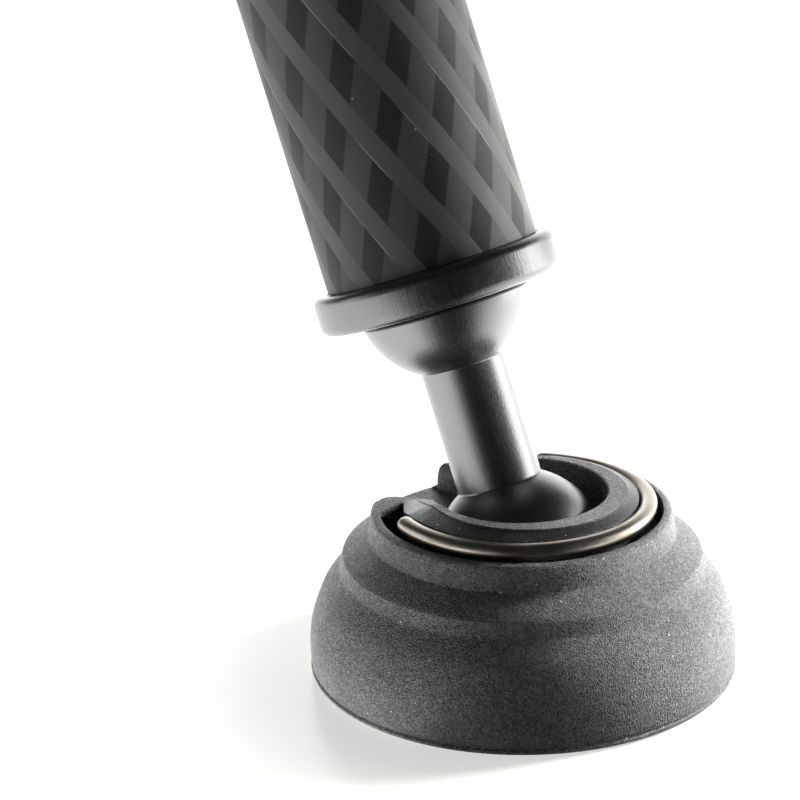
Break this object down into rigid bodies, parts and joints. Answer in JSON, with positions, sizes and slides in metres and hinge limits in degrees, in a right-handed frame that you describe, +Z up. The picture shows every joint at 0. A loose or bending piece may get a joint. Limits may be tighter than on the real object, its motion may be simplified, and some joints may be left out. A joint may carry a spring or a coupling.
{
  "type": "camera monopod",
  "caption": "Telescoping carbon camera monopod with twist locks, a rubber grip, a camera platform and a rubber foot on a ball joint.",
  "frame": {"origin": "centre of the foot's sole on the ground", "axes": "+Z up from the ground; the leg leans towards -X, over the notch in the foot"},
  "size_m": [0.2478, 0.056, 0.5521],
  "materials": {
    "foot_rubber": "matte, fine grain",
    "spring_steel": "drawn wire",
    "stud_metal": "bead-blasted, dark",
    "washer_rubber": "matte",
    "carbon": "satin wound carbon fibre",
    "dark_aluminium": "satin, dark anodised",
    "guide_plastic": "smooth",
    "collet_plastic": "smooth",
    "slip_plastic": "smooth",
    "lock_rubber": "matte",
    "seal_rubber": "matte",
    "grip_rubber": "matte, fine grain",
    "pad_rubber": "matte",
    "screw_steel": "turned"
  },
  "bodies": {
    "upper_leg": {"tube_1": "carbon", "lock_1_ferrule": "dark_aluminium", "lock_1_collet": "collet_plastic", "grip_sleeve": "grip_rubber", "grip_ring_lower": "dark_aluminium", "grip_ring_upper": "dark_aluminium", "top_plug": "dark_aluminium", "platform": "dark_aluminium", "platform_pad": "pad_rubber", "camera_screw": "screw_steel", "set_screws": "screw_steel"},
    "second_leg": {"tube_2": "carbon", "guide_2": "guide_plastic", "lock_2_ferrule": "dark_aluminium", "lock_2_collet": "collet_plastic"},
    "third_leg": {"tube_3": "carbon", "guide_3": "guide_plastic", "lock_3_ferrule": "dark_aluminium", "lock_3_collet": "collet_plastic"},
    "lower_leg": {"tube_4": "carbon", "guide_4": "guide_plastic", "end_plug": "dark_aluminium", "stud_washer": "washer_rubber"},
    "upper_lock": {"lock_1_ring": "dark_aluminium", "lock_1_grip": "lock_rubber", "lock_1_seal": "seal_rubber", "lock_1_washer": "slip_plastic"},
    "middle_lock": {"lock_2_ring": "dark_aluminium", "lock_2_grip": "lock_rubber", "lock_2_seal": "seal_rubber", "lock_2_washer": "slip_plastic"},
    "lower_lock": {"lock_3_ring": "dark_aluminium", "lock_3_grip": "lock_rubber", "lock_3_seal": "seal_rubber", "lock_3_washer": "slip_plastic"},
    "stud": {"ball_stud": "stud_metal"},
    "foot": {"rubber_foot": "foot_rubber", "snap_ring": "spring_steel"}
  },
  "joints": [
    {"name": "second_leg_slide", "type": "slide", "parent": "upper_leg", "child": "second_leg", "axis": [0.3502, 0, -0.9367], "range_m": [0, 0.3]},
    {"name": "third_leg_slide", "type": "slide", "parent": "second_leg", "child": "third_leg", "axis": [0.3502, 0, -0.9367], "range_m": [0, 0.33]},
    {"name": "lower_leg_slide", "type": "slide", "parent": "third_leg", "child": "lower_leg", "axis": [0.3502, 0, -0.9367], "range_m": [-0.06, 0.3]},
    {"name": "upper_lock_turn", "type": "hinge", "parent": "upper_leg", "child": "upper_lock", "pos_m": [-0.0574, 0, 0.16682], "axis": [-0.3502, 0, 0.9367], "range_deg": [0, 90]},
    {"name": "middle_lock_turn", "type": "hinge", "parent": "second_leg", "child": "middle_lock", "pos_m": [-0.04567, 0, 0.13544], "axis": [-0.3502, 0, 0.9367], "range_deg": [0, 90]},
    {"name": "lower_lock_turn", "type": "hinge", "parent": "third_leg", "child": "lower_lock", "pos_m": [-0.03394, 0, 0.10406], "axis": [-0.3502, 0, 0.9367], "range_deg": [0, 90]},
    {"name": "leg_pan", "type": "hinge", "parent": "lower_leg", "child": "stud", "pos_m": [0, 0, 0.0133], "axis": [-0.3502, 0, 0.9367], "continuous": true},
    {"name": "foot_tilt", "type": "hinge", "parent": "stud", "child": "foot", "pos_m": [0, 0, 0.0133], "axis": [0, 1, 0], "range_deg": [-46, 26]}
  ]
}
